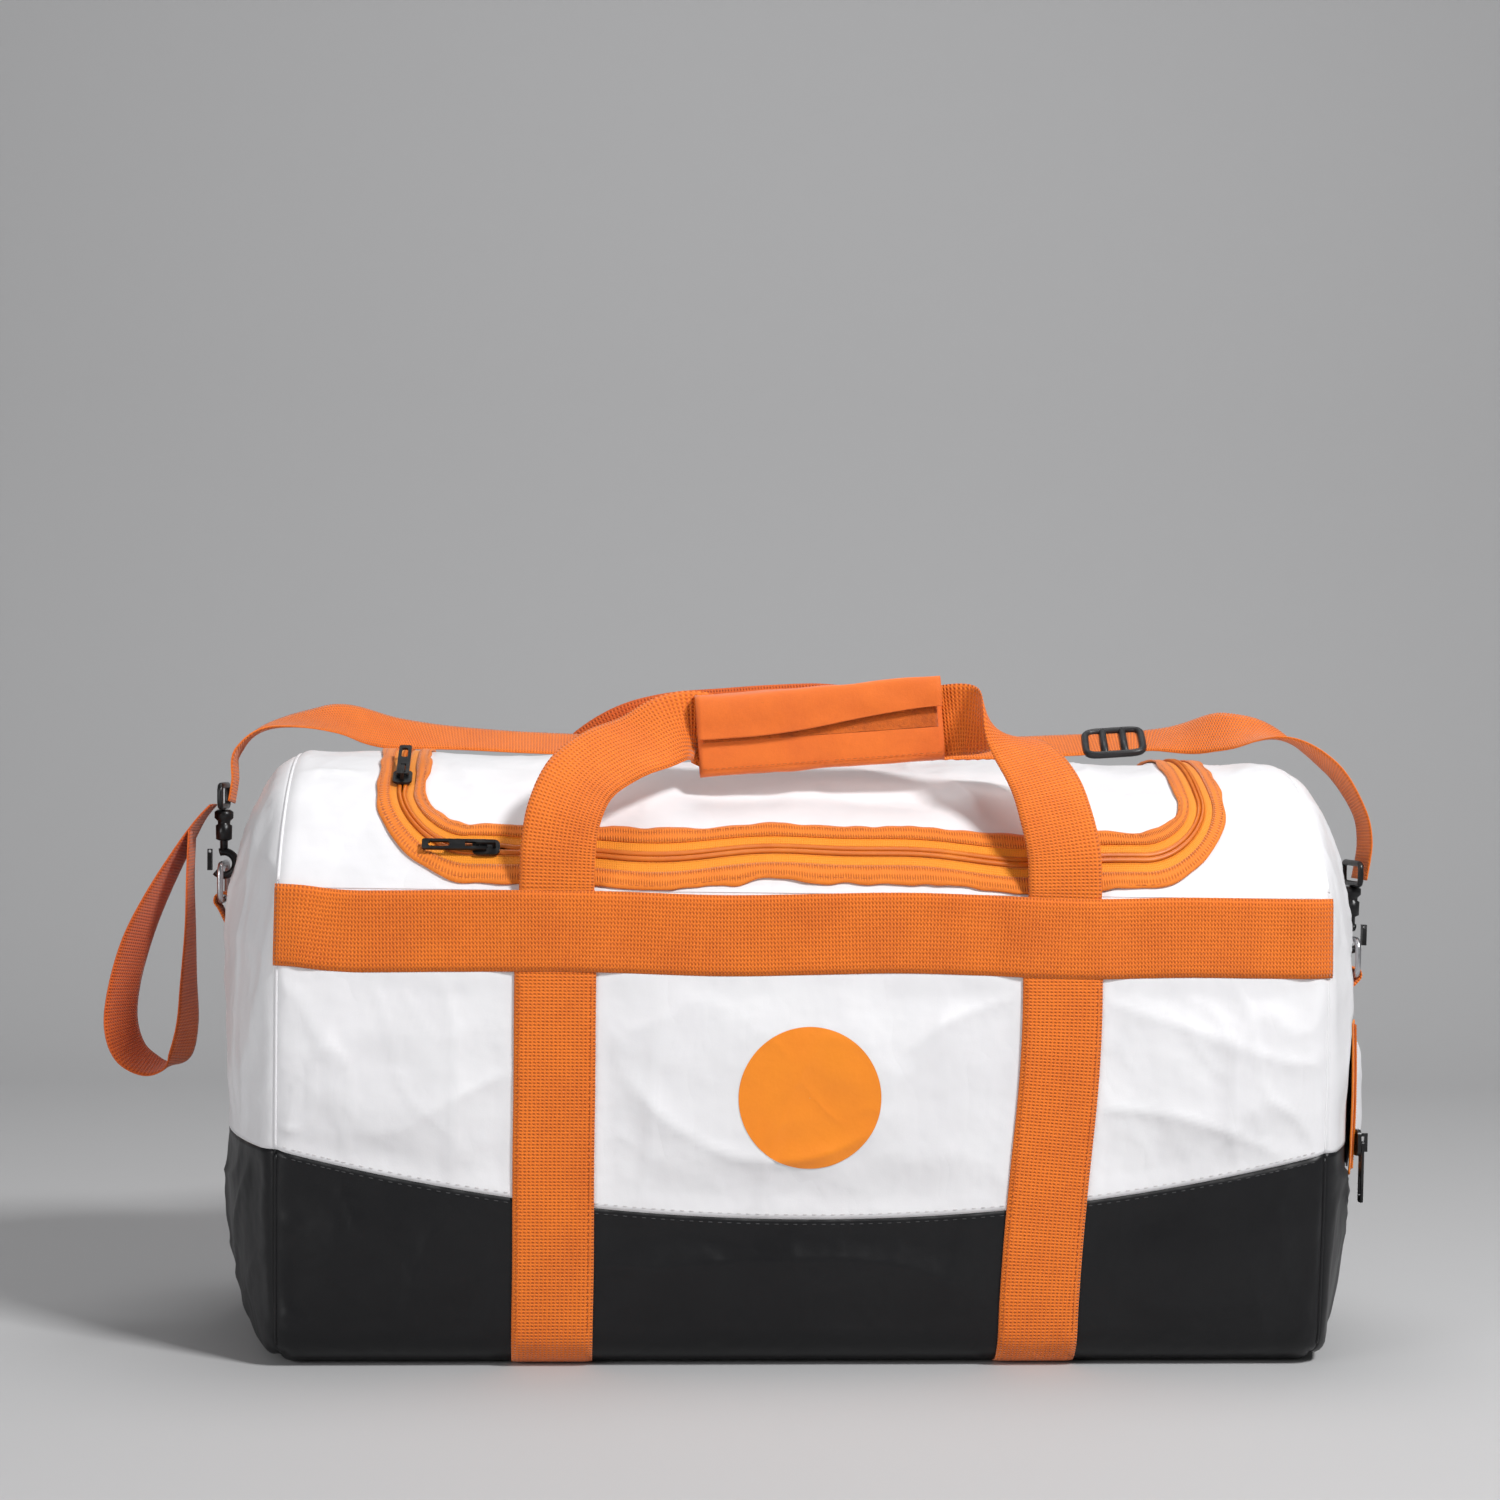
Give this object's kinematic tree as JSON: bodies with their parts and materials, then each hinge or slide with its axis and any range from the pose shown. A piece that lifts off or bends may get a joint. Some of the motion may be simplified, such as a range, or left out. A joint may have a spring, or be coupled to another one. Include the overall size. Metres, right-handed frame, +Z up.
{
  "type": "sports duffel bag",
  "caption": "Soft sports duffel bag with a domed zipped lid, webbing carrying handles joined by a wrap grip, a shoulder strap on hooks and a dark base.",
  "frame": {"origin": "centre of the flat base, at the level of the floor", "axes": "+X along the bag to its pocket end, +Y from the front to the back, +Z up"},
  "size_m": [0.8403, 0.3236, 0.4302],
  "materials": {
    "white_cloth": "smooth coated cloth, satin",
    "black_cloth": "smooth coated cloth, semi-gloss",
    "webbing": "ribbed woven webbing, matte",
    "zip_tape": "fine woven tape with stitched binding",
    "zip_coil": "satin nylon coil",
    "black_metal": "semi-gloss black enamel",
    "steel": "satin plated wire",
    "black_plastic": "moulded, lightly grained",
    "hook_and_loop": "rough pile",
    "grip_cloth": "smooth plain weave",
    "print": "flat printed ink",
    "board": "plain sheet"
  },
  "bodies": {
    "bag": {"bag_zip_coil": "zip_coil", "bag_zip_tape": "zip_tape", "band_front": "webbing", "band_rear": "webbing", "base_board": "board", "base_bottom_panel": "black_cloth", "base_front_panel": "black_cloth", "base_left_panel": "black_cloth", "base_rear_panel": "black_cloth", "base_right_panel": "black_cloth", "base_straps": "webbing", "front_mark": "print", "front_panel": "white_cloth", "front_strap_left": "webbing", "front_strap_right": "webbing", "left_end_panel": "white_cloth", "left_hook": "black_plastic", "left_ring": "steel", "left_ring_tab": "webbing", "pocket_zip_tapes": "zip_tape", "rear_panel": "white_cloth", "rear_strap_left": "webbing", "rear_strap_right": "webbing", "right_end_panel": "white_cloth", "right_hook": "black_plastic", "right_pocket_panel": "white_cloth", "right_ring": "steel", "right_ring_tab": "webbing", "shoulder_strap": "webbing", "strap_adjuster": "black_plastic", "strap_loop": "webbing", "top_left_panel": "white_cloth", "top_rear_panel": "white_cloth", "top_right_panel": "white_cloth"},
    "lid": {"lid_panel": "white_cloth", "lid_zip_tape": "zip_tape", "lid_zip_coil": "zip_coil"},
    "front_handle": {"front_handle_left": "webbing", "front_handle_right": "webbing", "front_handle_middle": "webbing", "grip_cuff": "grip_cloth", "grip_loop_patch": "hook_and_loop"},
    "grip_flap": {"grip_flap": "grip_cloth", "grip_hook_patch": "hook_and_loop"},
    "rear_handle": {"rear_handle_left": "webbing", "rear_handle_right": "webbing", "rear_handle_middle": "webbing"},
    "front_slider": {"front_slider": "black_metal"},
    "front_pull": {"front_pull": "black_metal"},
    "left_slider": {"left_slider": "black_metal"},
    "left_pull": {"left_pull": "black_metal"},
    "pocket_slider": {"pocket_slider": "black_metal"},
    "pocket_pull": {"pocket_pull": "black_metal"},
    "left_gate": {"left_hook_gate": "black_plastic"},
    "right_gate": {"right_hook_gate": "black_plastic"}
  },
  "joints": [
    {"name": "lid_hinge", "type": "hinge", "parent": "bag", "child": "lid", "pos_m": [0, 0.06, 0.3702], "axis": [-1, 0, 0], "range_deg": [0, 100]},
    {"name": "front_handle_swing", "type": "hinge", "parent": "bag", "child": "front_handle", "pos_m": [0, -0.16, 0.299], "axis": [1, 0, 0], "range_deg": [0, 181]},
    {"name": "rear_handle_swing", "type": "hinge", "parent": "bag", "child": "rear_handle", "pos_m": [0, 0.16, 0.299], "axis": [-1, 0, 0], "range_deg": [0, 170]},
    {"name": "grip_flap_hinge", "type": "hinge", "parent": "front_handle", "child": "grip_flap", "pos_m": [-0.07214, -0.082, 0.41411], "axis": [-0.9961, 0, -0.0883], "range_deg": [0, 120]},
    {"name": "front_slider_travel", "type": "slide", "parent": "bag", "child": "front_slider", "axis": [1, 0, 0], "range_m": [0, 0.385]},
    {"name": "front_pull_hinge", "type": "hinge", "parent": "front_slider", "child": "front_pull", "pos_m": [-0.2005, -0.141, 0.32295], "axis": [0, 0.672, 0.7405], "range_deg": [0, 120]},
    {"name": "left_slider_travel", "type": "hinge", "parent": "bag", "child": "left_slider", "pos_m": [0, 0, 0.19499], "axis": [-1, 0, 0], "range_deg": [0, 39]},
    {"name": "left_pull_hinge", "type": "hinge", "parent": "left_slider", "child": "left_pull", "pos_m": [-0.255, -0.08491, 0.36542], "axis": [1, 0, 0], "range_deg": [0, 165]},
    {"name": "pocket_slider_travel", "type": "slide", "parent": "bag", "child": "pocket_slider", "axis": [0, 0, 1], "range_m": [0, 0.06]},
    {"name": "pocket_pull_hinge", "type": "hinge", "parent": "pocket_slider", "child": "pocket_pull", "pos_m": [0.36637, -0.096, 0.135], "axis": [0, -1, 0], "range_deg": [0, 150]},
    {"name": "left_gate_hinge", "type": "hinge", "parent": "bag", "child": "left_gate", "pos_m": [-0.38531, 0, 0.312], "axis": [0, -1, 0], "range_deg": [0, 15], "stiffness_Nm_per_rad": 0.02, "springref_deg": -5.73},
    {"name": "right_gate_hinge", "type": "hinge", "parent": "bag", "child": "right_gate", "pos_m": [0.391, 0, 0.27], "axis": [0, 1, 0], "range_deg": [0, 15], "stiffness_Nm_per_rad": 0.02, "springref_deg": -5.73}
  ],
  "couplings": [
    {"joint": "front_handle_swing", "follows": "lid_hinge", "ratio": 1.8}
  ]
}
